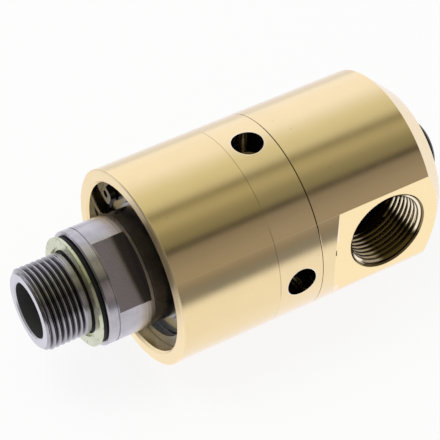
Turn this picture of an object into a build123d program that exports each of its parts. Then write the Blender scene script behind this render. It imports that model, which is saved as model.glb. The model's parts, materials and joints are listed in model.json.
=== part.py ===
from build123d import *
import math
import os

# Hydraulic rotary union, G 3/4, one passage, for a turning machine shaft.
# Millimetres. +X runs along the rotor axis from the rotor's thread to the rear plug,
# -Y is the way the side port faces, +Z is up. The origin is on the rotor axis at the
# inner end of the rotor's thread. Every x below is measured from there.

# Clearances
slip = 0.02                    # pieces that seat on each other
running = 0.05                 # pieces that turn or slide in each other
squeeze = 0.04                 # rubber rings in their grooves
overrun = 1.0                  # how far a cutter passes the face it cuts

# G 3/4 pipe thread, shared by the rotor, the side port and the rear port
thread_major_d = 26.44
thread_depth = 1.16            # crest to root

# Rotor: thread, neck, collar, bearing journal and seal end
thread_length = 14.3
thread_lead_in = 1.3
passage_d = 17.8
passage_chamfer = 0.6
neck_relief = 0.56             # neck below the thread's root
neck_length = 3.3
neck_blend = 0.5
collar_step = 5.28             # thread crest to collar
collar_chamfer = 0.5
collar_groove_setback = 3.2
collar_groove_width = 0.4
collar_groove_depth = 0.2
wrench_size = 29.8             # across the two wrench flats
flat_from_groove = 0.2
flat_length = 10.7
flat_turn = 43.7               # from +Z towards -Y
flat_to_land = 1.0
collar_land = 1.7              # full-size collar left in front of the housing
shoulder_step = 0.4            # collar to the shoulder that holds the bearings
journal_end_gap = 5.5          # journal past the rear bearing
seal_pocket_wall = 2.5
seal_pocket_depth = 3.7

# Seal pair under the collar: plated metal ring and rubber ring
ring_step = 0.9                # collar to metal ring
ring_width = 1.25
ring_rim_chamfer = 0.2
ring_lip_play = 0.28           # thread crest to the ring's lip
ring_lip_height = 0.8
ring_lip_width = 0.5
rubber_step = 0.4              # metal ring to rubber ring
rubber_width = 1.4
rubber_round = 0.3

# Deep-groove ball bearings, 30 x 55 x 13
bearing_bore = 30.0
bearing_section = 12.5         # bore to outside, on one side
bearing_width = 13.0
ball_share = 0.568             # ball over the bearing's section
inner_land_share = 0.303       # ball circle to inner ring, over the ball
outer_land_share = 0.331       # ball circle to outer ring, over the ball
ball_count = 11
ball_play = 0.04
groove_ratio = 0.53            # raceway radius over ball diameter
ring_corner = 1.0
shield_seat_depth = 1.2
shield_seat_play = 0.2
shield_thickness = 0.9
shield_inset = 0.4
shield_gap = 0.2
cage_bar = 2.1
cage_rim = 0.75                # cage left beside each ball
cage_pocket_play = 0.12
bearing_spacing = 3.0          # length of the two spacers
outer_spacer_wall = 3.2

# Snap rings
bore_ring_groove_depth = 1.5
bore_ring_thickness = 2.0
bore_ring_wide = 5.0
bore_ring_narrow = 2.6
bore_ring_inset = 4.5          # housing front face to the snap ring
bore_ring_gap_turn = 10.0      # gap direction, from +Y towards +Z
bore_ring_gap_angle = 20.0
bore_ring_lug = 6.8
bore_ring_lug_width = 6.0
bore_ring_lug_round = 2.0
bore_ring_hole_d = 2.5
shaft_ring_groove_depth = 0.7
shaft_ring_thickness = 1.5
shaft_ring_wide = 3.5
shaft_ring_narrow = 2.0
shaft_ring_gap_angle = 16.0
groove_play = 0.1

# Face seal
seat_flange_step = 1.0         # journal to the seat's flange, so that the bearings slide over
seat_flange_width = 2.5
seat_end_gap = 0.2
seat_play = 0.1                # seat body to its pocket
seat_chamfer = 0.3
seat_groove_width = 2.2
carbon_nose_step = 1.5
carbon_nose_length = 1.2
carbon_length = 5.5
carbon_bore_step = 0.6         # passage to the carbon ring's bore
cup_wall = 2.2
cup_depth = 3.4
cup_floor = 2.0
carrier_flange_width = 2.2
carrier_bore_step = 0.1        # passage to the carrier's bore
carrier_tube_wall = 2.5
carrier_tube_chamfer = 0.8
seal_travel = 1.2              # the carrier's free travel towards the rear
spring_length = 7.1            # as fitted, carrier to the housing's floor
spring_wire = 1.3
spring_play = 1.85             # tube to spring
spring_turns = 3.2
pin_d = 3.0
pin_gap = 0.78                 # cup to pin
pin_rim = 3.0                  # pin centre to the flange's rim
pin_depth = 4.0                # held in the housing
pin_end_gap = 0.2
pin_reach = 1.1                # past the flange's front
pin_chamfer = 0.375
pin_count = 2
pin_hole_play = 0.4

# Housing halves
bearing_wall = 4.5             # housing wall outside the bearings
mouth_chamfer = 0.8
edge_chamfer = 0.4
chamber_gap = 2.5              # carrier flange to the chamber's wall
leak_hole_d = 10.0
leak_hole_count = 4
leak_hole_wall = 0.9           # bearing seat to the holes
leak_hole_turn = 2.2           # first hole, from +Z towards -Y
spigot_wall = 4.0
spigot_length = 7.0
spigot_end_gap = 0.5
floor_rim = 1.5                # spigot's seat to the spring's floor
guide_length = 6.0
rear_chamfer = 7.5

# Rubber rings
oring_section = 1.8
oring_groove_width = 2.4
joint_ring_from_face = 3.2
guide_ring_offset = 0.4        # ahead of the guide's middle

# Side port and rear port
port_depth = 15.5
port_chamfer = 0.5
port_waist_d = 20.0
port_waist_wall = 1.2          # guide to the port's waist
port_rear_wall = 8.78
side_flat_depth = 4.0
flat_lead = 8.83               # port thread to the nearest edge of the flat
flat_cutter_d = 80.0           # face mill that leaves the flat's curved front end
flat_cutter_drop = 2.0         # its centre below the rotor axis
rear_plug_thread = 10.0
rear_plug_gap = 4.1            # behind the plug's thread
plug_seal_wall = 2.23
plug_seal_width = 1.5
plug_end_chamfer = 1.0
plug_flange_rim = 0.5          # seal to the flange's rim
plug_flange_width = 3.0
plug_boss_d = 20.0
plug_boss_length = 4.7
plug_boss_chamfer = 0.8
plug_socket = 12.0             # across the hexagon
plug_socket_depth = 8.0

# Diameters that follow, from the passage outwards
thread_minor_d = thread_major_d - 2 * thread_depth
flow_d = thread_minor_d
neck_d = thread_minor_d - 2 * neck_relief
collar_d = thread_major_d + 2 * collar_step
shoulder_d = collar_d - 2 * shoulder_step
ring_od = collar_d - 2 * ring_step
ring_lip_d = thread_major_d + 2 * ring_lip_play
ring_id = ring_lip_d + 2 * ring_lip_height
rubber_od = ring_od - 2 * rubber_step
bearing_od = bearing_bore + 2 * bearing_section
journal_d = bearing_bore - 2 * slip
seal_pocket_d = bearing_bore - 2 * seal_pocket_wall
seat_flange_d = bearing_bore - 2 * seat_flange_step
seat_body_d = seal_pocket_d - 2 * seat_play
shaft_ring_groove_d = bearing_bore - 2 * shaft_ring_groove_depth
ball_pitch_d = bearing_bore + bearing_section
ball_d = ball_share * bearing_section
inner_land_d = ball_pitch_d - 2 * inner_land_share * ball_d
outer_land_d = ball_pitch_d + 2 * outer_land_share * ball_d
shield_seat_d = outer_land_d + 2 * shield_seat_depth
shield_seat_width = shield_inset + shield_thickness + shield_seat_play
carbon_od = seat_flange_d
carbon_nose_d = carbon_od - 2 * carbon_nose_step
carbon_bore_d = passage_d + 2 * carbon_bore_step
cup_d = carbon_od + 2 * slip
cup_od = cup_d + 2 * cup_wall
pin_circle_d = cup_od + pin_d + 2 * pin_gap
carrier_flange_d = pin_circle_d + 2 * pin_rim
carrier_bore_d = passage_d + 2 * carrier_bore_step
carrier_tube_d = carrier_bore_d + 2 * carrier_tube_wall
guide_d = carrier_tube_d + 2 * running
spring_mean_d = carrier_tube_d + 2 * spring_play + spring_wire
chamber_d = carrier_flange_d + 2 * chamber_gap
spigot_d = chamber_d + 2 * spigot_wall
spigot_seat_d = spigot_d + 2 * slip
bore_ring_groove_d = bearing_od + 2 * bore_ring_groove_depth
housing_od = bearing_od + 2 * bearing_wall
side_flat = housing_od / 2 - side_flat_depth
plug_thread_d = thread_major_d - 2 * running
plug_seal_id = thread_major_d + 2 * running
plug_seal_od = plug_seal_id + 2 * plug_seal_wall
plug_flange_d = plug_seal_od + 2 * plug_flange_rim

# Places that follow, along the axis
tip_x = -thread_length
collar_x = neck_length
collar_groove_x = collar_x + collar_groove_setback
flat_x = collar_groove_x + collar_groove_width + flat_from_groove
land_x = flat_x + flat_length + flat_to_land
front_x = land_x + collar_land
bore_ring_x = front_x + bore_ring_inset
bearing_x = bore_ring_x + bore_ring_thickness
second_bearing_x = bearing_x + bearing_width + bearing_spacing
stack_end_x = second_bearing_x + bearing_width
rotor_end_x = stack_end_x + journal_end_gap
seat_start_x = rotor_end_x - seal_pocket_depth + seat_end_gap
seat_ring_x = (seat_start_x + rotor_end_x) / 2
seal_face_x = rotor_end_x + seat_flange_width
carbon_end_x = seal_face_x + carbon_length
carrier_back_x = carbon_end_x + cup_floor
carrier_flange_x = carrier_back_x - carrier_flange_width
floor_x = carrier_back_x + spring_length
guide_end_x = floor_x + guide_length
guide_ring_x = (floor_x + guide_end_x) / 2 - guide_ring_offset
spigot_seat_x = floor_x - floor_rim
spigot_end_x = spigot_seat_x - spigot_end_gap
joint_x = spigot_end_x - spigot_length
side_port_x = guide_end_x + port_waist_wall + port_waist_d / 2
side_flat_x = side_port_x - thread_major_d / 2 - flat_lead
rear_x = side_port_x + thread_major_d / 2 + port_rear_wall
plug_x = rear_x + plug_seal_width
plug_end_x = plug_x - rear_plug_thread
plug_boss_x = plug_x + plug_flange_width
head_x = plug_boss_x + plug_boss_length

from_base = (Align.CENTER, Align.CENTER, Align.MIN)


def turned(*corners):
    """A solid of revolution about the rotor axis, from (x, diameter) corners."""
    outline = Polyline(*[(x, d / 2) for x, d in corners], close=True)
    return revolve(make_face(outline), Axis.X, 360)


def ring(x, width, outer_d, inner_d):
    """A plain ring whose front face is at x."""
    return turned((x, inner_d), (x + width, inner_d), (x + width, outer_d), (x, outer_d))


def rubber_ring(x, seat_d, wall_d):
    """A rubber ring that fills the groove between two diameters, centred at x."""
    section = abs(wall_d - seat_d) / 2 - 2 * squeeze
    middle = (seat_d + wall_d) / 4
    return revolve(Pos(x, middle) * Circle(section / 2), Axis.X, 360)


def around(angle, radius, x=0.0):
    """A place at a radius, angle counted from +Z towards -Y."""
    a = math.radians(angle)
    return Pos(x, -radius * math.sin(a), radius * math.cos(a))


def bar(place, d, length):
    """A round bar that starts at a place and runs along +X."""
    return place * Rot(0, 90, 0) * Cylinder(d / 2, length, align=from_base)


def bar_axis(x):
    """The rotor axis at x, as the Z of a solid built about its own Z."""
    return Pos(x, 0, 0) * Rot(0, 90, 0)


def across(x):
    """The plane square to the rotor axis at x, with its own X along +Y."""
    return Plane((x, 0, 0), x_dir=(0, 1, 0), z_dir=(1, 0, 0))


def outer_circles(body, count):
    """The largest circular edges of a turned body."""
    return body.edges().filter_by(GeomType.CIRCLE).sort_by(SortBy.RADIUS)[-count:]


def rotor():
    body = turned(
        (tip_x, passage_d + 2 * passage_chamfer),
        (tip_x, thread_major_d - 2 * thread_lead_in),
        (tip_x + thread_lead_in, thread_major_d),
        (0, thread_major_d),
        (neck_blend, neck_d),
        (collar_x, neck_d),
        (collar_x, collar_d - 2 * collar_chamfer),
        (collar_x + collar_chamfer, collar_d),
        (land_x, collar_d),
        (land_x + shoulder_step, shoulder_d),
        (bearing_x, shoulder_d),
        (bearing_x, journal_d),
        (rotor_end_x - passage_chamfer, journal_d),
        (rotor_end_x, journal_d - 2 * passage_chamfer),
        (rotor_end_x, seal_pocket_d),
        (rotor_end_x - seal_pocket_depth, seal_pocket_d),
        (rotor_end_x - seal_pocket_depth, passage_d),
        (tip_x + passage_chamfer, passage_d),
    )
    body -= ring(collar_groove_x, collar_groove_width, collar_d + overrun, collar_d - 2 * collar_groove_depth)
    snap_width = shaft_ring_thickness + groove_play
    body -= ring(stack_end_x, snap_width, bearing_bore + overrun, shaft_ring_groove_d)
    for side in (0, 180):
        block = Box(flat_length, collar_d, collar_d, align=(Align.MIN, Align.CENTER, Align.MIN))
        body -= Pos(flat_x, 0, 0) * Rot(flat_turn + side, 0, 0) * Pos(0, 0, wrench_size / 2) * block
    return body


def thread_retaining_ring():
    back = collar_x - rubber_width - slip
    front = back - ring_width
    lip = back - ring_lip_width
    rim_d = ring_od - 2 * ring_rim_chamfer
    return turned(
        (front, ring_id), (front, rim_d), (front + ring_rim_chamfer, ring_od),
        (back - ring_rim_chamfer, ring_od), (back, rim_d), (back, ring_lip_d), (lip, ring_lip_d),
        (lip, ring_id),
    )


def thread_seal_ring():
    front = collar_x - rubber_width - slip / 2
    body = ring(front, rubber_width, rubber_od, neck_d + 2 * running)
    return fillet(outer_circles(body, 2), rubber_round)


def raceway(x, bottom_d, outward):
    """The torus that cuts a ball groove, its deepest point on bottom_d."""
    groove_r = groove_ratio * ball_d
    centre_r = bottom_d / 2 + (groove_r if outward else -groove_r)
    return bar_axis(x) * Torus(centre_r, groove_r)


def bearing_inner_ring(x):
    middle = x + bearing_width / 2
    body = ring(x, bearing_width, inner_land_d, bearing_bore)
    corners = body.edges().filter_by(GeomType.CIRCLE).sort_by(SortBy.RADIUS)[:2]
    body = chamfer(corners, ring_corner)
    return body - raceway(middle, ball_pitch_d - ball_d - 2 * ball_play, True)


def bearing_outer_ring(x):
    middle = x + bearing_width / 2
    body = ring(x, bearing_width, bearing_od - 2 * slip, outer_land_d)
    body = chamfer(outer_circles(body, 2), ring_corner)
    for seat in (x, x + bearing_width - shield_seat_width):
        body -= ring(seat, shield_seat_width, shield_seat_d, outer_land_d - overrun)
    return body - raceway(middle, ball_pitch_d + ball_d + 2 * ball_play, False)


def bearing_shields(x):
    outer = shield_seat_d - 2 * slip
    inner = inner_land_d + 2 * shield_gap
    front = ring(x + shield_inset, shield_thickness, outer, inner)
    back = ring(x + bearing_width - shield_inset - shield_thickness, shield_thickness, outer, inner)
    return Compound(children=[front, back])


def ball_places(x):
    step = 360 / ball_count
    return [around(i * step, ball_pitch_d / 2, x + bearing_width / 2) for i in range(ball_count)]


def bearing_balls(x):
    return Compound(children=[place * Sphere(ball_d / 2) for place in ball_places(x)])


def bearing_cage(x):
    width = ball_d + 2 * cage_rim
    front = x + (bearing_width - width) / 2
    body = ring(front, width, ball_pitch_d + cage_bar, ball_pitch_d - cage_bar)
    for place in ball_places(x):
        body -= place * Sphere(ball_d / 2 + cage_pocket_play)
    return body


def inner_spacer():
    return ring(bearing_x + bearing_width, bearing_spacing, shoulder_d, bearing_bore)


def outer_spacer():
    outer = bearing_od - 2 * slip
    return ring(bearing_x + bearing_width, bearing_spacing, outer, outer - 2 * outer_spacer_wall)


def ring_gap(angle, reach):
    """The wedge that opens a snap ring, towards +X of its plane."""
    half = reach * math.tan(math.radians(angle / 2))
    return make_face(Polyline((0, 0), (reach, -half), (reach, half), close=True))


def bore_circlip():
    outer_r = bore_ring_groove_d / 2 - slip
    inner_r = outer_r - (bore_ring_wide + bore_ring_narrow) / 2
    offset = (bore_ring_wide - bore_ring_narrow) / 2
    flat = Circle(outer_r) - Pos(offset, 0) * Circle(inner_r) - ring_gap(bore_ring_gap_angle, 2 * outer_r)
    for side in (-1, 1):
        lug_angle = side * (bore_ring_gap_angle / 2 + math.degrees(bore_ring_lug_width / 2 / outer_r))
        lug = Rectangle(bore_ring_lug, bore_ring_lug_width)
        lug = fillet(lug.vertices().sort_by(Axis.X)[:2], bore_ring_lug_round)
        place = Rot(0, 0, lug_angle) * Pos(outer_r - bore_ring_lug / 2, 0)
        eye = Rot(0, 0, lug_angle) * Pos(outer_r - bore_ring_lug + bore_ring_lug_width / 2, 0)
        flat = flat + (place * lug & Circle(outer_r)) - eye * Circle(bore_ring_hole_d / 2)
    turn = across(bore_ring_x) * Rot(0, 0, bore_ring_gap_turn)
    return extrude(turn * flat, bore_ring_thickness - groove_play)


def shaft_circlip():
    inner_r = shaft_ring_groove_d / 2 + slip
    outer_r = inner_r + (shaft_ring_wide + shaft_ring_narrow) / 2
    offset = -(shaft_ring_wide - shaft_ring_narrow) / 2
    flat = Pos(offset, 0) * Circle(outer_r) - Circle(inner_r) - ring_gap(shaft_ring_gap_angle, 2 * outer_r)
    return extrude(across(stack_end_x + groove_play / 2) * flat, shaft_ring_thickness)


def front_housing():
    body = turned(
        (front_x, bearing_od + 2 * mouth_chamfer),
        (front_x, housing_od - 2 * edge_chamfer),
        (front_x + edge_chamfer, housing_od),
        (joint_x - edge_chamfer / 2, housing_od),
        (joint_x, housing_od - edge_chamfer),
        (joint_x, spigot_d),
        (spigot_end_x - edge_chamfer, spigot_d),
        (spigot_end_x, spigot_d - 2 * edge_chamfer),
        (spigot_end_x, chamber_d),
        (stack_end_x, chamber_d),
        (stack_end_x, bearing_od),
        (front_x + mouth_chamfer, bearing_od),
    )
    body -= ring(bore_ring_x - groove_play, bore_ring_thickness, bore_ring_groove_d, bearing_od - overrun)
    groove_x = joint_x + joint_ring_from_face
    body -= ring(groove_x, oring_groove_width, spigot_d + overrun, spigot_d - 2 * oring_section)
    hole_x = stack_end_x + leak_hole_wall + leak_hole_d / 2
    for i in range(leak_hole_count):
        angle = leak_hole_turn + i * 360 / leak_hole_count
        hole = Cylinder(leak_hole_d / 2, housing_od / 2, align=from_base)
        body -= Pos(hole_x, 0, 0) * Rot(angle, 0, 0) * hole
    return body


def side_bore(d, depth_from, depth_to):
    """A round cut on the side port's axis between two distances from the rotor axis."""
    tool = Cylinder(d / 2, depth_to - depth_from, align=from_base)
    return Pos(side_port_x, -depth_from, 0) * Rot(90, 0, 0) * tool


def rear_housing():
    body = turned(
        (joint_x, spigot_seat_d),
        (joint_x, housing_od - edge_chamfer),
        (joint_x + edge_chamfer / 2, housing_od),
        (rear_x - rear_chamfer, housing_od),
        (rear_x, housing_od - 2 * rear_chamfer),
        (rear_x, thread_major_d + 2 * port_chamfer),
        (rear_x - port_chamfer, thread_major_d),
        (plug_end_x - rear_plug_gap, thread_major_d),
        (plug_end_x - rear_plug_gap, flow_d),
        (guide_end_x, flow_d),
        (guide_end_x, guide_d),
        (floor_x, guide_d),
        (floor_x, chamber_d),
        (spigot_seat_x, chamber_d),
        (spigot_seat_x, spigot_seat_d),
    )
    cutter_r = flat_cutter_d / 2
    cutter = Cylinder(cutter_r, housing_od, align=from_base)
    body -= Pos(side_flat_x + cutter_r, -side_flat, -flat_cutter_drop) * Rot(90, 0, 0) * cutter
    body -= side_bore(port_waist_d, 0, side_flat)
    body -= side_bore(thread_major_d, side_flat - port_depth, side_flat + overrun)
    mouth_r = thread_major_d / 2 + port_chamfer
    mouth = Cone(mouth_r - port_chamfer, mouth_r + overrun, port_chamfer + overrun, align=from_base)
    body -= Pos(side_port_x, -side_flat + port_chamfer, 0) * Rot(90, 0, 0) * mouth
    body -= ring(guide_ring_x - oring_groove_width / 2, oring_groove_width,
                 carrier_tube_d + 2 * oring_section, carrier_tube_d)
    for place in pin_places(floor_x):
        body -= bar(place, pin_d + 2 * slip, pin_depth + pin_end_gap)
    return body


def pin_places(x):
    step = 360 / pin_count
    return [around(i * step, pin_circle_d / 2, x) for i in range(pin_count)]


def anti_rotation_pins():
    start = carrier_flange_x - pin_reach
    pins = []
    for place in pin_places(start):
        pin = bar(place, pin_d, floor_x + pin_depth - start)
        pins.append(chamfer(pin.edges().filter_by(GeomType.CIRCLE).sort_by(Axis.X)[0], pin_chamfer))
    return Compound(children=pins)


def housing_joint_oring():
    middle = joint_x + joint_ring_from_face + oring_groove_width / 2
    return rubber_ring(middle, spigot_d - 2 * oring_section, spigot_seat_d)


def rotor_seal_seat():
    body = turned(
        (seat_start_x, passage_d), (seat_start_x, seat_body_d),
        (rotor_end_x, seat_body_d), (rotor_end_x, seat_flange_d),
        (seal_face_x - seat_chamfer, seat_flange_d), (seal_face_x, seat_flange_d - 2 * seat_chamfer),
        (seal_face_x, passage_d),
    )
    groove = ring(seat_ring_x - seat_groove_width / 2, seat_groove_width,
                  seal_pocket_d + overrun, seal_pocket_d - 2 * oring_section)
    return body - groove


def rotor_seal_oring():
    return rubber_ring(seat_ring_x, seal_pocket_d - 2 * oring_section, seal_pocket_d)


def carbon_seal_ring():
    nose = seal_face_x + slip
    shoulder = seal_face_x + carbon_nose_length
    return turned(
        (nose, carbon_bore_d), (nose, carbon_nose_d), (shoulder, carbon_nose_d),
        (shoulder, carbon_od), (carbon_end_x, carbon_od), (carbon_end_x, carbon_bore_d),
    )


def seal_carrier():
    cup_x = carbon_end_x - cup_depth
    tube_end = guide_end_x - seal_travel
    body = turned(
        (cup_x, cup_d), (cup_x, cup_od), (carrier_flange_x, cup_od),
        (carrier_flange_x, carrier_flange_d), (carrier_back_x, carrier_flange_d),
        (carrier_back_x, carrier_tube_d), (tube_end - carrier_tube_chamfer, carrier_tube_d),
        (tube_end, carrier_tube_d - 2 * carrier_tube_chamfer), (tube_end, carrier_bore_d),
        (carbon_end_x, carrier_bore_d), (carbon_end_x, cup_d),
    )
    for place in pin_places(carrier_flange_x):
        body -= bar(place, pin_d + pin_hole_play, carrier_flange_width)
    return body


def carrier_oring():
    return rubber_ring(guide_ring_x, carrier_tube_d + 2 * running, carrier_tube_d + 2 * oring_section)


def seal_spring():
    wire_r = spring_wire / 2
    length = spring_length - spring_wire - 2 * slip
    path = Helix(length / spring_turns, length, spring_mean_d / 2)
    wire = sweep(Plane(path @ 0, z_dir=path % 0) * Circle(wire_r), path, is_frenet=True)
    return bar_axis(carrier_back_x + wire_r + slip) * wire


def rear_plug():
    body = turned(
        (plug_end_x, 0), (plug_end_x, plug_thread_d - 2 * plug_end_chamfer),
        (plug_end_x + plug_end_chamfer, plug_thread_d), (plug_x, plug_thread_d), (plug_x, plug_flange_d),
        (plug_boss_x, plug_flange_d), (plug_boss_x, plug_boss_d), (head_x - plug_boss_chamfer, plug_boss_d),
        (head_x, plug_boss_d - 2 * plug_boss_chamfer), (head_x, 0),
    )
    hexagon = RegularPolygon(plug_socket / 2, 6, major_radius=False)
    return body - extrude(across(head_x - plug_socket_depth) * hexagon, plug_socket_depth)


def rear_plug_seal():
    return ring(rear_x, plug_seal_width, plug_seal_od, plug_seal_id)


def parts():
    nodes = {
        "front_housing": front_housing(),
        "rear_housing": rear_housing(),
        "housing_joint_oring": housing_joint_oring(),
        "bore_circlip": bore_circlip(),
        "outer_spacer": outer_spacer(),
        "inner_spacer": inner_spacer(),
        "shaft_circlip": shaft_circlip(),
        "rotor": rotor(),
        "thread_retaining_ring": thread_retaining_ring(),
        "thread_seal_ring": thread_seal_ring(),
        "rotor_seal_seat": rotor_seal_seat(),
        "rotor_seal_oring": rotor_seal_oring(),
        "carbon_seal_ring": carbon_seal_ring(),
        "seal_carrier": seal_carrier(),
        "carrier_oring": carrier_oring(),
        "seal_spring": seal_spring(),
        "anti_rotation_pins": anti_rotation_pins(),
        "rear_plug": rear_plug(),
        "rear_plug_seal": rear_plug_seal(),
    }
    for name, x in (("front", bearing_x), ("rear", second_bearing_x)):
        nodes[name + "_bearing_inner_ring"] = bearing_inner_ring(x)
        nodes[name + "_bearing_outer_ring"] = bearing_outer_ring(x)
        nodes[name + "_bearing_shields"] = bearing_shields(x)
        nodes[name + "_bearing_cage"] = bearing_cage(x)
        nodes[name + "_bearing_balls"] = bearing_balls(x)
    return nodes


os.makedirs("parts", exist_ok=True)
for name, shape in parts().items():
    export_step(shape, f"parts/{name}.step")
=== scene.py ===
import bpy, bmesh, json, math
from mathutils import Matrix, Vector


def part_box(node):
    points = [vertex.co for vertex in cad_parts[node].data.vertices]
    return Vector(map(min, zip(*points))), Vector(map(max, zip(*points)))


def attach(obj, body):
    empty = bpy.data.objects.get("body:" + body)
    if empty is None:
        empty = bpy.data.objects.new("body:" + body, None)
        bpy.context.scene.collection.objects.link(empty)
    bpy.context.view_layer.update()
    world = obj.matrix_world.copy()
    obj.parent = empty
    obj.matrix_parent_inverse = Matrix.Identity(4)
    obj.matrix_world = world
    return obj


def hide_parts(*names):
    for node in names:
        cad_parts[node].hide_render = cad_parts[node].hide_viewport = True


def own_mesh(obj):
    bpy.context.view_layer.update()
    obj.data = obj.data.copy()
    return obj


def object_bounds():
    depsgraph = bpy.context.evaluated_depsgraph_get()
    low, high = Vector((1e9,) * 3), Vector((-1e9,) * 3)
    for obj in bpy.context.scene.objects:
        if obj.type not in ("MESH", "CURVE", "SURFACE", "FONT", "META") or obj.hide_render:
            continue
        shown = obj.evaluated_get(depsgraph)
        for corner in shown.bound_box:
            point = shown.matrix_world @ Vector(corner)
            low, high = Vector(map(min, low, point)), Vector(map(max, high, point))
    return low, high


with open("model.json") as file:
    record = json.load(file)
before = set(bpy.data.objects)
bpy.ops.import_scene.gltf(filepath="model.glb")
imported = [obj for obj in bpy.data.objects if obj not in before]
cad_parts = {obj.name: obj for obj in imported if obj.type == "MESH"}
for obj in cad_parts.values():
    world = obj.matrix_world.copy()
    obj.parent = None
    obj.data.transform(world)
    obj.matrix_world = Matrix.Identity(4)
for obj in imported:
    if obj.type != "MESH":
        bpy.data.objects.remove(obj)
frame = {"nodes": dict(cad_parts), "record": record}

cadBox = [list(corner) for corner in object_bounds()]
nodes = frame["nodes"]
print("frame loaded:", len(nodes), "nodes")

# places and sizes of the part, in metres; X is the rotor's axis
mm = 0.001
mounts = {mount["name"]: mount for mount in frame["record"]["mounts"]}
threadRadius = mounts["rotor_thread"]["dims"]["r_mm"] * mm
portX = mounts["side_port"]["pos_m"][0]
portDepth = mounts["side_port"]["dims"]["length_mm"] * mm
flatY = mounts["side_flat"]["pos_m"][1]
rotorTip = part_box("rotor")[0].x
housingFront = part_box("front_housing")[0].x
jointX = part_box("rear_housing")[0].x
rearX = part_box("rear_housing")[1].x
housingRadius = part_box("front_housing")[1].z


# a socket that can stand in a sum: every operator adds a Math node
class Sock:
    def __init__(self, maker, socket):
        self.maker = maker
        self.socket = socket

    def __add__(self, other):
        return self.maker.math("ADD", self, other)

    def __radd__(self, other):
        return self.maker.math("ADD", other, self)

    def __sub__(self, other):
        return self.maker.math("SUBTRACT", self, other)

    def __rsub__(self, other):
        return self.maker.math("SUBTRACT", other, self)

    def __mul__(self, other):
        return self.maker.math("MULTIPLY", self, other)

    def __rmul__(self, other):
        return self.maker.math("MULTIPLY", other, self)

    def __truediv__(self, other):
        return self.maker.math("DIVIDE", self, other)

    def __rtruediv__(self, other):
        return self.maker.math("DIVIDE", other, self)

    def __neg__(self):
        return self.maker.math("MULTIPLY", self, -1.0)

    def __gt__(self, other):
        return self.maker.math("GREATER_THAN", self, other)

    def __lt__(self, other):
        return self.maker.math("LESS_THAN", self, other)

    def abs(self):
        return self.maker.math("ABSOLUTE", self)

    def sqrt(self):
        return self.maker.math("SQRT", self)

    def sin(self):
        return self.maker.math("SINE", self)

    def atan2(self, other):
        return self.maker.math("ARCTAN2", self, other)

    def least(self, other):
        return self.maker.math("MINIMUM", self, other)


# makes the nodes of one material, or of the world
class Maker:
    def __init__(self, tree):
        self.tree = tree

    # settings come first, then the inputs: by order, or by name where a name is given
    def node(self, kind, settings=None, *inputs, out=0, **named):
        made = self.tree.nodes.new(kind)
        for key, value in (settings or {}).items():
            if key == "stops":
                self.fillRamp(made.color_ramp, value)
            else:
                setattr(made, key, value)
        for slot, value in list(enumerate(inputs)) + list(named.items()):
            if value is None:
                continue
            target = made.inputs[slot if isinstance(slot, int) else slot.replace("_", " ")]
            if isinstance(value, Sock):
                self.tree.links.new(value.socket, target)
            elif target.type == "RGBA":
                target.default_value = (*value, 1.0)
            else:
                target.default_value = value
        return Sock(self, made.outputs[out]) if len(made.outputs) else made

    def fillRamp(self, ramp, stops):
        while len(ramp.elements) > 1:
            ramp.elements.remove(ramp.elements[-1])
        for i, (place, colour) in enumerate(stops):
            stop = ramp.elements[0] if i == 0 else ramp.elements.new(place)
            stop.position = place
            stop.color = (*colour, 1.0)

    def math(self, operation, *inputs):
        return self.node("ShaderNodeMath", {"operation": operation}, *inputs)

    def vector(self, operation, *inputs, **named):
        return self.node("ShaderNodeVectorMath", {"operation": operation}, *inputs, **named)

    # the three parts of a vector
    def parts(self, vector):
        split = self.node("ShaderNodeSeparateXYZ", None, vector)
        return [Sock(self, output) for output in split.socket.node.outputs]

    # the first colour at a factor of 0, the second at 1
    def mixColour(self, factor, first, second):
        between = [None] * 5        # sockets for mixing numbers and vectors
        return self.node("ShaderNodeMix", {"data_type": "RGBA"}, factor, *between, first, second, out=2)

    # 0 below low, 1 above high
    def rise(self, value, low, high):
        smooth = {"interpolation_type": "SMOOTHSTEP"}
        return self.node("ShaderNodeMapRange", smooth, value, low, high, 0.0, 1.0)

    # 1 below low, 0 above high
    def fall(self, value, low, high):
        return 1.0 - self.rise(value, low, high)

    # 1 closer than full to a place, 0 further off than none
    def near(self, value, place, full, none):
        return self.fall((value - place).abs(), full, none)

    def noise1(self, value, scale, detail=0.0):
        line = {"noise_dimensions": "1D"}
        return self.node("ShaderNodeTexNoise", line, W=value, Scale=scale, Detail=detail)

    def noise3(self, vector, scale, detail=2.0):
        return self.node("ShaderNodeTexNoise", None, Vector=vector, Scale=scale, Detail=detail)


def emptyMaterial(name):
    material = bpy.data.materials.new(name)
    material.use_nodes = True
    material.node_tree.nodes.clear()
    return material, Maker(material.node_tree)


# the last step of a finish: its values go into a Principled shader
def finishMaterial(material, maker, **values):
    shader = maker.node("ShaderNodeBsdfPrincipled", None, **values)
    maker.node("ShaderNodeOutputMaterial", None, Surface=shader)
    return material


# object place, then its parts in millimetres and the distance from the rotor's axis
def axisPlace(maker):
    place = maker.node("ShaderNodeTexCoord", out="Object")
    x, y, z = (part * (1.0 / mm) for part in maker.parts(place))
    return place, x, y, z, (y * y + z * z).sqrt()


# two directions square to each other, turned together by an angle in degrees
def turnedPair(first, second, degrees):
    turn = math.radians(degrees)
    return first * math.cos(turn) + second * math.sin(turn), second * math.cos(turn) - first * math.sin(turn)


# Lengths in the finishes are in millimetres. A grain is noise counted in a metre, a groove or a streak is
# noise counted in a millimetre along the axis, and a span is where a step starts and where it ends.
lathe = {"spread": 1.37}        # a millimetre across a face counts as this many along the axis


# what the tool's grooves are counted along, on a cylinder as on a face
def grooveLine(x, radius):
    return x + radius * lathe["spread"]


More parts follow.
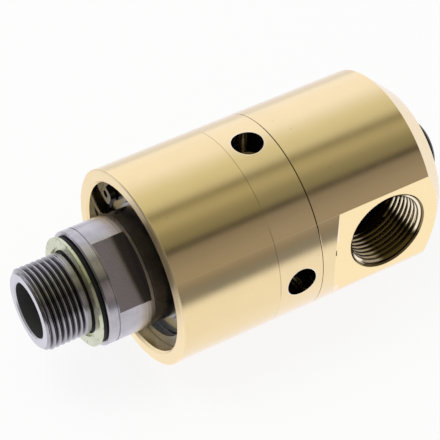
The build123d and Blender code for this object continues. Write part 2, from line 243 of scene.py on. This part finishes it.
# grooves of two sizes, as a slope to and fro
def grooveSlope(maker, along, look):
    fine = maker.noise1(along, look["fineGroove"]) - 0.5
    coarse = maker.noise1(along, look["coarseGroove"], detail=2.0) - 0.5
    return fine * look["fineSlope"] + coarse * look["coarseSlope"]


# a normal rocked to and fro across the grooves that run round the rotor's axis
def latheNormal(maker, y, z, slope):
    toWorld = {"vector_type": "VECTOR", "convert_from": "OBJECT", "convert_to": "WORLD"}
    around = maker.node("ShaderNodeCombineXYZ", None, 0.0, -z, y)
    around = maker.vector("NORMALIZE", maker.node("ShaderNodeVectorTransform", toWorld, around))
    normal = maker.node("ShaderNodeNewGeometry", out="Normal")
    across = maker.vector("CROSS_PRODUCT", normal, around)
    rocked = maker.vector("ADD", normal, maker.vector("SCALE", across, Scale=slope))
    return maker.vector("NORMALIZE", rocked)


brass = {
    "colour": (0.84, 0.665, 0.35), "deep": (0.70, 0.52, 0.24), "deepShare": 0.10,
    "mottleGrain": 90.0, "mottleShare": 0.6, "streak": 2.6, "streakShare": 0.4, "tintSpan": (0.35, 0.7),
    "roughness": 0.15, "deepRough": 0.05, "flatRough": 0.05, "rimRough": 0.25, "faceRough": 0.22,
    "fineGroove": 11.0, "fineSlope": 0.26, "coarseGroove": 1.3, "coarseSlope": 0.016, "bareSlope": 0.1,
    "skinSpan": (0.1, 0.5), "frontSpan": (0.6, 0.9), "rearSpan": (7.4, 7.6), "flatSpan": (0.02, 0.06),
    "speckGrain": 520.0, "speckSpan": (0.79, 0.81), "speckShare": 0.5, "speckColour": (0.30, 0.22, 0.10),
    # the face colour is a painted highlight on the housing's front face
    "flatColour": (0.95, 0.76, 0.41), "faceHighlightColour": (0.93, 0.76, 0.43), "faceSpan": (0.3, 0.9),
    "insideColour": (0.22, 0.17, 0.07), "insideSpan": (25.5, 27.0),
    "jointColour": (0.10, 0.075, 0.04), "jointSpan": (0.084, 0.12),
}
# everything past this line was turned in a second pass and is a shade lighter
secondPass = {
    "at": 54.4, "span": (-0.1, 0.1), "share": 0.05, "colour": (1.0, 0.92, 0.80),
    "lineSpan": (0.05, 0.3), "lineShare": 0.45, "lineColour": (0.30, 0.22, 0.10),
    "gapGrain": 60.0, "gapSpan": (0.38, 0.55),
}
# painted highlight: a lighter ring round the edge of each leak hole
leakHoles = {
    "x": 61.9, "turn": 2.2, "radius": 5.0, "innerSpan": (-0.05, 0.05), "outerSpan": (0.245, 0.35),
    "rimShare": 0.6, "rimHighlightColour": (1.0, 0.93, 0.80),
}
# painted reflection: where the cutter's rounded corner ran out, the flat is painted a soft lighter patch
# beside its front edge
paintedFlatReflection = {
    "edge": 73.8, "middle": -4.5, "wide": 3.4, "narrowing": 0.04, "span": (0.4, 1.0), "end": 4.0,
    "share": 0.45, "colour": (1.0, 0.92, 0.78),
}


def secondPassColour(maker, place, x, colour):
    past = maker.rise(x - secondPass["at"], *secondPass["span"])
    colour = maker.mixColour(past * secondPass["share"], colour, secondPass["colour"])
    line = maker.near(x, secondPass["at"], *secondPass["lineSpan"])
    line = line * maker.rise(maker.noise3(place, secondPass["gapGrain"], detail=1.0), *secondPass["gapSpan"])
    return maker.mixColour(line * secondPass["lineShare"], colour, secondPass["lineColour"])


def leakHoleRims(maker, x, y, z):
    sideways, upways = turnedPair(y, z, leakHoles["turn"])
    alongHole = x - leakHoles["x"]
    offAxis = sideways.abs().least(upways.abs())
    fromEdge = (alongHole * alongHole + offAxis * offAxis).sqrt() - leakHoles["radius"]
    return maker.rise(fromEdge, *leakHoles["innerSpan"]) * maker.fall(fromEdge, *leakHoles["outerSpan"])


def paintedFlatReflectionMask(maker, x, z):
    fromEdge = x - paintedFlatReflection["edge"]
    fromMiddle = z - paintedFlatReflection["middle"]
    wide = paintedFlatReflection["wide"] - fromMiddle * fromMiddle * paintedFlatReflection["narrowing"]
    return maker.fall(fromEdge / wide, *paintedFlatReflection["span"]) * (fromEdge < paintedFlatReflection["end"])


def brassFinish():
    material, maker = emptyMaterial("turnedBrass")
    place, x, y, z, radius = axisPlace(maker)
    along = grooveLine(x, radius)
    onFlat = maker.near(-y, -flatY / mm, *brass["flatSpan"])
    # only what a lathe reaches has its grooves: the outside and the two ends
    fromFront = x - housingFront / mm
    outside = maker.fall(housingRadius / mm - radius, *brass["skinSpan"])
    ends = maker.fall(fromFront, *brass["frontSpan"]) + maker.fall(rearX / mm - x, *brass["rearSpan"])
    turned = (outside + ends).least(1.0) * (1.0 - onFlat)
    slope = grooveSlope(maker, along, brass) * (turned + brass["bareSlope"])
    mottle = maker.noise3(place, brass["mottleGrain"], detail=3.0) * brass["mottleShare"]
    streak = maker.noise1(along, brass["streak"], detail=3.0) * brass["streakShare"]
    tint = maker.rise(mottle + streak, *brass["tintSpan"])
    colour = maker.mixColour(tint * brass["deepShare"], brass["colour"], brass["deep"])
    colour = secondPassColour(maker, place, x, colour)
    speck = maker.rise(maker.noise3(place, brass["speckGrain"], detail=1.0), *brass["speckSpan"]) * turned
    colour = maker.mixColour(speck * brass["speckShare"], colour, brass["speckColour"])
    # the milled flat is painted a lighter brass, partly for its milled finish and partly as a painted
    # highlight
    colour = maker.mixColour(onFlat, colour, brass["flatColour"])
    # inside holes and ports hardly any light comes back
    within = (1.0 - outside) * (1.0 - onFlat) * (1.0 - ends.least(1.0)) * maker.rise(x, *brass["insideSpan"])
    colour = maker.mixColour(within, colour, brass["insideColour"])
    joint = maker.near(x, jointX / mm, *brass["jointSpan"])
    colour = maker.mixColour(joint, colour, brass["jointColour"])
    # painted highlight round the leak holes' edges
    rim = leakHoleRims(maker, x, y, z) * outside
    colour = maker.mixColour(rim * leakHoles["rimShare"], colour, leakHoles["rimHighlightColour"])
    # painted reflection beside the flat's front edge
    patch = paintedFlatReflectionMask(maker, x, z) * onFlat
    colour = maker.mixColour(patch * paintedFlatReflection["share"], colour, paintedFlatReflection["colour"])
    # painted highlight: the housing's front face is painted a lighter brass
    face = maker.fall(fromFront, *brass["faceSpan"])
    colour = maker.mixColour(face, colour, brass["faceHighlightColour"])
    rough = brass["roughness"] + tint * brass["deepRough"] + onFlat * brass["flatRough"]
    rough = rough + rim * brass["rimRough"] + face * brass["faceRough"]
    return finishMaterial(material, maker, Base_Color=colour, Metallic=1.0, Roughness=rough,
                          Normal=latheNormal(maker, y, z, slope))


steel = {
    "colour": (0.49, 0.465, 0.46), "deep": (0.34, 0.325, 0.33),
    "mottleGrain": 140.0, "mottleSpan": (0.35, 0.7), "mottleShare": 0.3,
    "scuffGrain": 260.0, "scuffGrainShare": 0.6, "scuffStreak": 3.2, "scuffStreakShare": 0.4,
    "scuffSpan": (0.42, 0.62), "scuffShare": 0.35,
    "roughness": 0.20, "mottleRough": 0.06, "flatRough": 0.22, "boreRough": 0.4,
    "fineGroove": 9.0, "fineSlope": 0.30, "coarseGroove": 1.6, "coarseSlope": 0.06, "flatSmooth": 0.8,
    # the groove colour is painted shade in the collar's groove
    "groove": 6.7, "grooveSpan": (0.02, 0.10), "grooveShadeColour": (0.07, 0.07, 0.07),
    # the tip face colour is a painted highlight on the rotor's end face
    "tipFaceSpan": (0.02, 0.08), "faceHighlightColour": (0.56, 0.55, 0.55),
}
# the two wrench flats, with painted shade that darkens them towards the housing
wrenchFlat = {
    "turn": 43.7, "fromAxis": 14.9, "span": (0.03, 0.08), "endSpan": (17.85, 17.95),
    "colour": (0.47, 0.43, 0.49), "flatShadeColour": (0.10, 0.09, 0.095), "flatShadeSpan": (13.2, 15.2),
    "flatShadeLean": 0.06,
    "rippleX": 9.5, "rippleAcross": 14.0, "ripplePitch": 0.68, "rippleHeight": 0.018 * mm,
    "waverGrain": 200.0, "waver": 0.3,
}
# painted shade darkens the thread, most at its roots, and a painted highlight lightens its crests
paintedThreadShading = {
    "endSpan": (-1.2, -0.4), "leadInSpan": (1.0, 1.4),
    "rootSpan": (12.25, 13.15), "rootShadeColour": (0.035, 0.035, 0.037), "rootShadeShare": 0.76, "threadShadeShare": 0.18,
    "crestSpan": (13.10, 13.18), "paintedCrestColour": (0.40, 0.385, 0.39), "crestHighlightShare": 0.6,
}
# the passage through the rotor is painted near-black as painted shade, with a faint painted glow; the small
# chamfer round its mouth carries a painted highlight
passage = {
    "span": (9.0, 9.1), "colour": (0.035, 0.035, 0.034), "metal": 0.10, "glow": 0.004,
    "rimInnerSpan": (9.0, 9.05), "rimOuterSpan": (9.45, 9.5),
    "rimHighlightColour": (0.60, 0.60, 0.60), "rimMetal": 0.60,
}


# the arcs that the side of a milling cutter leaves on the flats
def rippledNormal(maker, place, x, across, onFlat, normal):
    reachX = x - wrenchFlat["rippleX"]
    reachY = across - wrenchFlat["rippleAcross"]
    waver = maker.noise3(place, wrenchFlat["waverGrain"]) * wrenchFlat["waver"]
    reach = (reachX * reachX + reachY * reachY).sqrt() + waver
    ripple = (reach * (2 * math.pi / wrenchFlat["ripplePitch"])).sin() * onFlat
    return maker.node("ShaderNodeBump", None, Strength=1.0, Distance=wrenchFlat["rippleHeight"],
                      Height=ripple, Normal=normal)


# painted shade over the thread and deepest in its roots, and a painted highlight on its crests
def threadShadingColour(maker, x, radius, colour):
    threaded = maker.fall(x, *paintedThreadShading["endSpan"])
    low = maker.fall(radius, *paintedThreadShading["rootSpan"])
    low = low * maker.rise(x - rotorTip / mm, *paintedThreadShading["leadInSpan"])
    crest = maker.rise(radius, *paintedThreadShading["crestSpan"])
    paintedShade = threaded * (low * paintedThreadShading["rootShadeShare"] + paintedThreadShading["threadShadeShare"])
    colour = maker.mixColour(paintedShade, colour, paintedThreadShading["rootShadeColour"])
    return maker.mixColour(threaded * crest * paintedThreadShading["crestHighlightShare"], colour, paintedThreadShading["paintedCrestColour"])


def steelFinish():
    material, maker = emptyMaterial("turnedSteel")
    place, x, y, z, radius = axisPlace(maker)
    along = grooveLine(x, radius)
    across, outward = turnedPair(y, z, wrenchFlat["turn"])
    onFlat = maker.near(outward.abs(), wrenchFlat["fromAxis"], *wrenchFlat["span"])
    onFlat = onFlat * maker.fall(x, *wrenchFlat["endSpan"]) * (x > steel["groove"])
    slope = grooveSlope(maker, along, steel) * (1.0 - onFlat * steel["flatSmooth"])
    normal = rippledNormal(maker, place, x, across, onFlat, latheNormal(maker, y, z, slope))
    mottle = maker.rise(maker.noise3(place, steel["mottleGrain"], detail=3.0), *steel["mottleSpan"])
    scuff = maker.noise3(place, steel["scuffGrain"], detail=4.0) * steel["scuffGrainShare"]
    scuff = scuff + maker.noise1(along, steel["scuffStreak"], detail=2.0) * steel["scuffStreakShare"]
    scuff = maker.rise(scuff, *steel["scuffSpan"])
    worn = mottle * steel["mottleShare"] + scuff * steel["scuffShare"]
    colour = maker.mixColour(worn, steel["colour"], steel["deep"])
    # painted shade on the wrench flats, deepest towards the housing
    flatShade = maker.rise(x + across * wrenchFlat["flatShadeLean"], *wrenchFlat["flatShadeSpan"])
    flatColour = maker.mixColour(flatShade, wrenchFlat["colour"], wrenchFlat["flatShadeColour"])
    colour = maker.mixColour(onFlat, colour, flatColour)
    # painted shade: the collar's groove is painted near-black
    groove = maker.near(x, steel["groove"], *steel["grooveSpan"])
    colour = maker.mixColour(groove, colour, steel["grooveShadeColour"])
    colour = threadShadingColour(maker, x, radius, colour)
    # painted highlight: the rotor's tip face is painted a lighter steel
    tipFace = maker.fall(x - rotorTip / mm, *steel["tipFaceSpan"])
    colour = maker.mixColour(tipFace, colour, steel["faceHighlightColour"])
    # painted shade: the bore is painted near-black
    bore = maker.fall(radius, *passage["span"])
    colour = maker.mixColour(bore, colour, passage["colour"])
    # painted highlight on the chamfer round the bore's mouth
    rim = maker.rise(radius, *passage["rimInnerSpan"]) * maker.fall(radius, *passage["rimOuterSpan"])
    colour = maker.mixColour(rim, colour, passage["rimHighlightColour"])
    # a faint painted glow in the bore
    glow = maker.mixColour(bore, (0.0, 0.0, 0.0), (passage["glow"],) * 3)
    metal = 1.0 - bore * (1.0 - passage["metal"]) - rim * (1.0 - passage["rimMetal"])
    rough = steel["roughness"] + mottle * steel["mottleRough"] + bore * steel["boreRough"]
    rough = rough + onFlat * (steel["flatRough"] - steel["roughness"])
    return finishMaterial(material, maker, Base_Color=colour, Metallic=metal, Roughness=rough, Normal=normal,
                          Emission_Color=glow, Emission_Strength=1.0)


plain = {
    "groove": 7.0, "mottleGrain": 160.0, "mottleSpan": (0.35, 0.7), "mottleShare": 0.35, "mottleRough": 0.05,
    "deep": 0.78, "speckGrain": 700.0, "speckSpan": (0.60, 0.66), "speckDeep": 0.25,
}


def plainMetal(name, colour, roughness, slopeSize, specks=0.0):
    material, maker = emptyMaterial(name)
    place, x, y, z, radius = axisPlace(maker)
    slope = (maker.noise1(grooveLine(x, radius), plain["groove"]) - 0.5) * slopeSize
    mottle = maker.rise(maker.noise3(place, plain["mottleGrain"], detail=3.0), *plain["mottleSpan"])
    deep = tuple(level * plain["deep"] for level in colour)
    finish = maker.mixColour(mottle * plain["mottleShare"], colour, deep)
    if specks:
        speck = maker.rise(maker.noise3(place, plain["speckGrain"]), *plain["speckSpan"])
        speckColour = tuple(level * plain["speckDeep"] for level in colour)
        finish = maker.mixColour(speck * specks, finish, speckColour)
    return finishMaterial(material, maker, Base_Color=finish, Metallic=1.0,
                          Roughness=roughness + mottle * plain["mottleRough"],
                          Normal=latheNormal(maker, y, z, slope))


soft = {
    "grain": 300.0, "grainSpan": (0.4, 0.7), "grainShare": 0.4, "grainRough": 0.1,
    "light": 1.5, "lightest": 0.01, "bump": 0.15, "bumpHeight": 0.05 * mm,
}


def softFinish(name, colour, roughness, shine=0.5):
    material, maker = emptyMaterial(name)
    place = maker.node("ShaderNodeTexCoord", out="Object")
    grain = maker.noise3(place, soft["grain"], detail=3.0)
    light = tuple(min(1.0, level * soft["light"] + soft["lightest"]) for level in colour)
    finish = maker.mixColour(maker.rise(grain, *soft["grainSpan"]) * soft["grainShare"], colour, light)
    rough = roughness + grain * soft["grainRough"]
    bump = maker.node("ShaderNodeBump", None, Strength=soft["bump"], Distance=soft["bumpHeight"],
                      Height=grain)
    return finishMaterial(material, maker, Base_Color=finish, Roughness=rough, Normal=bump,
                          Specular_IOR_Level=shine)


# the side port's thread; painted shade darkens its lower side and its crests and roots
portBrass = {
    "colour": (0.92, 0.80, 0.56),
    "shadeTurn": -62.0, "shadeSpan": (0.78, 0.90), "lowShadeColour": (0.15, 0.105, 0.02),
    "flank": 12.7, "flankSpan": (0.22, 0.48), "paintedCrestColour": (0.10, 0.08, 0.035),
    "roughness": 0.10, "grain": 300.0, "grainRough": 0.05,
}


def portThreadFinish():
    material, maker = emptyMaterial("cutBrass")
    place, x, y, z, radius = axisPlace(maker)
    x = x - portX / mm
    fromPortAxis = (x * x + z * z).sqrt()
    # painted shade on the port thread's lower side
    low = turnedPair(x, z, portBrass["shadeTurn"])[0] / fromPortAxis
    paintedShade = maker.rise(low, *portBrass["shadeSpan"])
    colour = maker.mixColour(paintedShade, portBrass["colour"], portBrass["lowShadeColour"])
    # painted shade on the crests and roots, between the lighter flanks
    onFlank = maker.near(fromPortAxis, portBrass["flank"], *portBrass["flankSpan"])
    colour = maker.mixColour(1.0 - onFlank, colour, portBrass["paintedCrestColour"])
    rough = portBrass["roughness"] + maker.noise3(place, portBrass["grain"]) * portBrass["grainRough"]
    return finishMaterial(material, maker, Base_Color=colour, Metallic=1.0, Roughness=rough)


finishes = {
    "brass": brassFinish(),
    "turned_steel": steelFinish(),
    "zinc_plate": plainMetal("zincPlate", (0.60, 0.62, 0.42), 0.28, 0.12, specks=0.6),
    "rubber": softFinish("blackRubber", (0.006, 0.006, 0.006), 0.5, shine=0.2),
    "spring_steel": plainMetal("springSteel", (0.13, 0.13, 0.12), 0.25, 0.10),
    "bearing_steel": plainMetal("bearingSteel", (0.50, 0.50, 0.46), 0.10, 0.05),
    "cage_plastic": softFinish("cagePlastic", (0.30, 0.06, 0.03), 0.5),
    "seat_steel": plainMetal("seatSteel", (0.52, 0.52, 0.53), 0.08, 0.02),
    "carbon": softFinish("carbonGraphite", (0.03, 0.03, 0.032), 0.35),
    "black_steel": softFinish("blackOxide", (0.014, 0.014, 0.015), 0.33),
    # painted shade: the front bearing's shields and rings get a deep grey steel, far inside the housing's
    # bore
    "shield": plainMetal("bearingShield", (0.17, 0.17, 0.155), 0.13, 0.06),
    "portThread": portThreadFinish(),
}
# the front bearing's shields and rings, which get the deep grey steel painted as shade
polishedFace = ("front_bearing_shields", "front_bearing_outer_ring", "front_bearing_inner_ring")
for part in frame["record"]["subparts"]:
    node = nodes[part["node"]]
    finish = "shield" if part["node"] in polishedFace else part["material_slot"]
    node.data.materials.clear()
    node.data.materials.append(finishes[finish])
print("finishes:", len(finishes))


pipeThread = {
    "pitch": 1.814 * mm, "depth": 1.16 * mm, "steps": 96, "spareTurns": 2, "softAngle": 44.0,
    # one pitch of the rounded outline: share of the pitch, share of the depth
    "outline": ((0.00, 0.08), (0.06, 0.00), (0.18, 0.00), (0.24, 0.08), (0.50, 0.92), (0.56, 1.00),
                (0.68, 1.00), (0.74, 0.92), (1.00, 0.08)),
}
meshing = {"merge": 1e-6, "onPlane": 1e-7, "atRim": 2e-6, "hardAngle": 28.0}


# a screw surface about +X at the origin, from one pitch of its outline
def screwStrip(bm, outerRadius, turns):
    pitch, depth = pipeThread["pitch"], pipeThread["depth"]
    marks = pipeThread["outline"]
    verts = [bm.verts.new((share * pitch, 0.0, outerRadius - drop * depth)) for share, drop in marks]
    edges = [bm.edges.new(pair) for pair in zip(verts, verts[1:])]
    bmesh.ops.spin(bm, geom=verts + edges, cent=(0, 0, 0), axis=(1, 0, 0), angle=2 * math.pi * turns,
                   dvec=(pitch / pipeThread["steps"], 0, 0), steps=pipeThread["steps"] * turns,
                   use_duplicate=False)
    mergeDoubles(bm)


def mergeDoubles(bm):
    bmesh.ops.remove_doubles(bm, verts=bm.verts[:], dist=meshing["merge"])


# a cut square to X, which can clear away the lower or the upper side
def cutAt(bm, x, clearBelow=False, clearAbove=False):
    geom = bm.verts[:] + bm.edges[:] + bm.faces[:]
    bmesh.ops.bisect_plane(bm, geom=geom, dist=meshing["onPlane"], plane_co=(x, 0, 0), plane_no=(1, 0, 0),
                           clear_inner=clearBelow, clear_outer=clearAbove)


def rimEdges(bm, x):
    return [e for e in bm.edges
            if e.is_boundary and all(abs(v.co.x - x) < meshing["atRim"] for v in e.verts)]


def radiusOf(v):
    return math.hypot(v.co.y, v.co.z)


def setRadius(v, radius):
    scale = radius / radiusOf(v)
    v.co.y *= scale
    v.co.z *= scale


def fromNoneToFull(value):
    return max(0.0, min(1.0, value))


# a mesh as a new piece; up to threadEnd the rounded crests and roots of a thread stay soft
def finishMesh(name, bm, finish, hardAngle=meshing["hardAngle"], threadEnd=None):
    bmesh.ops.recalc_face_normals(bm, faces=bm.faces[:])
    for edge in bm.edges:
        limit = hardAngle
        if threadEnd is not None and max(v.co.x for v in edge.verts) < threadEnd - meshing["merge"]:
            limit = pipeThread["softAngle"]
        edge.smooth = edge.calc_face_angle(math.pi) < math.radians(limit)
    for face in bm.faces:
        face.smooth = True
    mesh = bpy.data.meshes.new(name)
    bm.to_mesh(mesh)
    bm.free()
    mesh.materials.append(finishes[finish])
    piece = bpy.data.objects.new(name, mesh)
    bpy.context.scene.collection.objects.link(piece)
    return piece


rotorLook = {
    "cut": -1.0 * mm, "leadIn": 1.3 * mm, "leadInCuts": 8, "boreChamfer": 0.6 * mm, "runOut": 1.4 * mm,
    "threadShift": 1.2,        # pitches by which the thread starts ahead of the tip
    "underThread": 2 * mm, "aroundBore": 1 * mm,        # which rim is the bore's, and which the thread's
}


# the bore runs on from a rim to the tip and opens in a small chamfer there
def boreToTip(bm, rim, bore):
    chamfer = rotorLook["boreChamfer"]
    for x, radius in ((rotorTip + chamfer, bore), (rotorTip, bore + chamfer)):
        made = bmesh.ops.extrude_edge_only(bm, edges=rim)["geom"]
        for v in [g for g in made if isinstance(g, bmesh.types.BMVert)]:
            v.co.x = x
            setRadius(v, radius)
        rim = [g for g in made if isinstance(g, bmesh.types.BMEdge) and g.is_boundary]
    return rim


# the rotor's thread, from the tip to the cut, with its lead-in and its run-out
def rotorThread():
    strip = bmesh.new()
    turns = math.ceil((rotorLook["cut"] - rotorTip) / pipeThread["pitch"]) + pipeThread["spareTurns"]
    screwStrip(strip, threadRadius, turns)
    start = rotorTip - pipeThread["pitch"] * rotorLook["threadShift"]
    bmesh.ops.translate(strip, verts=strip.verts[:], vec=(start, 0, 0))
    cutAt(strip, rotorTip, clearBelow=True)
    cutAt(strip, rotorLook["cut"], clearAbove=True)
    for i in range(1, rotorLook["leadInCuts"] + 1):
        cutAt(strip, rotorTip + rotorLook["leadIn"] * i / rotorLook["leadInCuts"])
    for v in strip.verts:
        limit = threadRadius - rotorLook["leadIn"] + (v.co.x - rotorTip)
        fade = fromNoneToFull((rotorLook["cut"] - v.co.x) / rotorLook["runOut"])
        radius = threadRadius - (threadRadius - radiusOf(v)) * fade
        setRadius(v, min(radius, limit))
    held = bpy.data.meshes.new("stripHeld")
    strip.to_mesh(held)
    strip.free()
    return held


def rotorPiece():
    cut = rotorLook["cut"]
    bm = bmesh.new()
    bm.from_mesh(nodes["rotor"].data)
    mergeDoubles(bm)
    cutAt(bm, cut, clearBelow=True)
    innermost = threadRadius - rotorLook["underThread"]
    boreRim = [e for e in rimEdges(bm, cut) if radiusOf(e.verts[0]) < innermost]
    bore = radiusOf(boreRim[0].verts[0])
    tipBore = boreToTip(bm, boreRim, bore)
    thread = rotorThread()
    bm.from_mesh(thread)
    bpy.data.meshes.remove(thread)
    outermost = bore + rotorLook["aroundBore"]
    tipThread = [e for e in rimEdges(bm, rotorTip) if radiusOf(e.verts[0]) > outermost]
    bmesh.ops.triangle_fill(bm, edges=tipBore + tipThread, use_beauty=True, normal=(-1, 0, 0))
    bmesh.ops.bridge_loops(bm, edges=rimEdges(bm, cut))
    return finishMesh("threadedRotor", bm, "turned_steel", threadEnd=cut)


rotor = rotorPiece()
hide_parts("rotor")
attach(rotor, "rotor")
print("rotor:", len(rotor.data.polygons), "faces")


portLook = {
    "wall": 0.02 * mm, "mouth": 0.5 * mm, "lead": 0.8 * mm, "leadStart": -0.1 * mm, "fade": 1.2 * mm,
    "threadShift": 1.3,        # pitches by which the thread starts ahead of the mouth
}


# the thread inside the side port, an open sheet just inside the wall of its bore
def portThreadPiece():
    bm = bmesh.new()
    wallRadius = threadRadius - portLook["wall"]
    turns = math.ceil(portDepth / pipeThread["pitch"]) + pipeThread["spareTurns"]
    screwStrip(bm, wallRadius, turns)
    start = -pipeThread["pitch"] * portLook["threadShift"]
    bmesh.ops.translate(bm, verts=bm.verts[:], vec=(start, 0, 0))
    cutAt(bm, 0.0, clearBelow=True)
    cutAt(bm, portDepth, clearAbove=True)
    for v in bm.verts:
        lead = (v.co.x - portLook["leadStart"]) / portLook["lead"]
        runOut = (portDepth - v.co.x) / portLook["fade"]
        fade = fromNoneToFull(min(lead, runOut))
        setRadius(v, wallRadius - (wallRadius - radiusOf(v)) * fade)
    # local +X goes into the port, world +Y
    turn = Matrix.Rotation(math.radians(90), 4, "Z")
    bmesh.ops.transform(bm, matrix=turn, verts=bm.verts[:])
    bmesh.ops.translate(bm, verts=bm.verts[:], vec=(portX, flatY + portLook["mouth"], 0))
    return finishMesh("sidePortThread", bm, "portThread", hardAngle=pipeThread["softAngle"])


portThread = portThreadPiece()
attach(portThread, "housing")
print("port thread:", len(portThread.data.polygons), "faces")


# a copy of the seal's spring
def springPiece():
    bm = bmesh.new()
    bm.from_mesh(nodes["seal_spring"].data)
    mergeDoubles(bm)
    return finishMesh("squeezedSpring", bm, "spring_steel")


spring = springPiece()
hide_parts("seal_spring")
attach(spring, "housing")
low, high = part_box("seal_spring")
travel = next(j for j in frame["record"]["behaviour"]["joints"] if j["name"] == "seal_float")["range_m"][1]
1.0 - travel / (high.x - low.x)
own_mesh(spring)
print("spring:", len(spring.data.polygons), "faces")


# stage, light and camera, in metres
floorLook = {
    "size": 1.6, "colour": (0.86, 0.86, 0.85), "seen": 0.87,
    # what metal mirrors of the floor: a white sheet that ends a little way in front of the object
    "mirrored": (0.90, 0.90, 1.0), "sheet": 1.12, "pastSheet": 0.27, "onSheet": 0.77,
    "frontSpan": (-0.22, -0.105), "backSpan": (0.05, 0.25), "backLoss": 0.16,
    "leftSpan": (-0.17, -0.08), "leftEnd": 0.12,
}


def mirroredSheet(maker, x, y):
    left = floorLook["leftEnd"]
    sheet = maker.rise(y, *floorLook["frontSpan"]) * floorLook["onSheet"] + floorLook["pastSheet"]
    sheet = sheet * (1.0 - maker.rise(y, *floorLook["backSpan"]) * floorLook["backLoss"])
    sheet = sheet * (maker.rise(x, *floorLook["leftSpan"]) * (1.0 - left) + left)
    return sheet * floorLook["sheet"]


# the camera sees a nearly plain white, mirrors see the sheet, and other light meets a diffuse floor
def floorFinish():
    material, maker = emptyMaterial("paleFloor")
    x, y, z = maker.parts(maker.node("ShaderNodeTexCoord", out="Object"))
    camera = maker.node("ShaderNodeLightPath", out="Is Camera Ray")
    mirrored = maker.node("ShaderNodeLightPath", out="Is Glossy Ray")
    tint = maker.mixColour(mirrored, (1.0, 1.0, 1.0), floorLook["mirrored"])
    glow = maker.vector("SCALE", tint, Scale=camera + mirrored * mirroredSheet(maker, x, y))
    diffuse = maker.node("ShaderNodeBsdfDiffuse", None, floorLook["colour"])
    emission = maker.node("ShaderNodeEmission", None, glow, 1.0)
    share = camera * floorLook["seen"] + mirrored
    mixed = maker.node("ShaderNodeMixShader", None, share, diffuse, emission)
    maker.node("ShaderNodeOutputMaterial", None, Surface=mixed)
    return material


def floorPiece():
    bm = bmesh.new()
    bmesh.ops.create_grid(bm, x_segments=2, y_segments=2, size=floorLook["size"])
    bmesh.ops.translate(bm, verts=bm.verts[:], vec=(jointX, 0, cadBox[0][2]))
    mesh = bpy.data.meshes.new("floor")
    bm.to_mesh(mesh)
    bm.free()
    mesh.materials.append(floorFinish())
    floor = bpy.data.objects.new("floor", mesh)
    bpy.context.scene.collection.objects.link(floor)


studio = {
    # light seen in the metal at each angle about the rotor's axis, with its tint:
    # 0 is level behind the object, 0.5 straight up, 1 level in front
    "bands": (
        (0.000, 1.13, "cool"), (0.200, 1.12, "cool"), (0.250, 1.05, "cool"), (0.313, 0.90, "even"),
        (0.380, 0.79, "plain"), (0.447, 0.72, "plain"), (0.480, 0.52, "plain"), (0.503, 0.27, "green"),
        (0.520, 0.29, "green"), (0.547, 0.45, "green"), (0.585, 0.50, "green"), (0.647, 0.31, "green"),
        (0.715, 0.24, "green"), (0.738, 0.06, "warm"), (0.752, 0.07, "warm"), (0.776, 0.28, "warm"),
        (0.813, 0.31, "warm"), (0.880, 0.37, "warm"), (0.940, 0.40, "warm"), (1.000, 0.28, "warm")),
    "tints": {"cool": (1.0, 1.01, 1.15), "even": (1.0, 1.0, 1.00), "plain": (1.0, 0.99, 0.83),
              "green": (1.0, 0.95, 0.70), "warm": (1.0, 0.90, 0.87)},
    "top": 1.6,        # strength of the background; the levels above and the fill are shares of it
    "darkEnd": 0.22, "darkEndSpan": (-0.75, -0.45),        # the end of the room past the rotor's tip
    "fill": 0.75,
}


def studioWorld():
    world = bpy.data.worlds.new("softStudio")
    bpy.context.scene.world = world
    world.use_nodes = True
    world.node_tree.nodes.clear()
    maker = Maker(world.node_tree)
    x, y, z = maker.parts(maker.node("ShaderNodeTexCoord", out="Generated"))
    turn = (-y).atan2(z) / math.pi + 0.5
    top = studio["top"]
    stops = [(place, tuple(level * c / top for c in studio["tints"][tint]))
             for place, level, tint in studio["bands"]]
    bands = maker.node("ShaderNodeValToRGB", {"stops": stops}, turn)
    end = maker.rise(x, *studio["darkEndSpan"]) * (1.0 - studio["darkEnd"]) + studio["darkEnd"]
    bands = maker.mixColour(end, (0.0, 0.0, 0.0), bands)
    camera = maker.node("ShaderNodeLightPath", out="Is Camera Ray")
    mirrored = maker.node("ShaderNodeLightPath", out="Is Glossy Ray")
    colour = maker.mixColour(mirrored, (studio["fill"] / top,) * 3, bands)
    colour = maker.mixColour(camera, colour, (1.0 / top,) * 3)
    background = maker.node("ShaderNodeBackground", None, colour, top)
    maker.node("ShaderNodeOutputWorld", None, Surface=background)


key = {"place": (-0.25, 0.15, 0.75), "size": 0.5, "energy": 2.2}


def keyLight():
    lamp = bpy.data.lights.new("softKey", "AREA")
    lamp.energy = key["energy"]
    lamp.shape = "DISK"
    lamp.size = key["size"]
    light = bpy.data.objects.new("softKey", lamp)
    bpy.context.scene.collection.objects.link(light)
    light.location = key["place"]
    aim = Vector((jointX, 0, 0)) - light.location
    light.rotation_euler = aim.to_track_quat("-Z", "Y").to_euler()
    light.visible_glossy = False


view = {
    "target": (0.0536, 0.0021, 0.0020), "azimuth": -29.96, "elevation": 42.33, "distance": 0.6324,
    "roll": -1.64, "lens": 167.1, "sensor": 36.0, "clipStart": 0.01,
}


def camera():
    data = bpy.data.cameras.new("camera")
    data.lens = view["lens"]
    data.sensor_width = view["sensor"]
    data.clip_start = view["clipStart"]
    eye = bpy.data.objects.new("camera", data)
    bpy.context.scene.collection.objects.link(eye)
    az, el = math.radians(view["azimuth"]), math.radians(view["elevation"])
    away = Vector((math.sin(az) * math.cos(el), -math.cos(az) * math.cos(el), math.sin(el)))
    eye.location = Vector(view["target"]) + away * view["distance"]
    turn = (-away).to_track_quat("-Z", "Y").to_matrix() @ Matrix.Rotation(math.radians(view["roll"]), 3, "Z")
    eye.rotation_euler = turn.to_euler()
    bpy.context.scene.camera = eye


floorPiece()
studioWorld()
keyLight()
camera()
bpy.context.scene.view_settings.view_transform = "Standard"
print("stage, light and camera done")
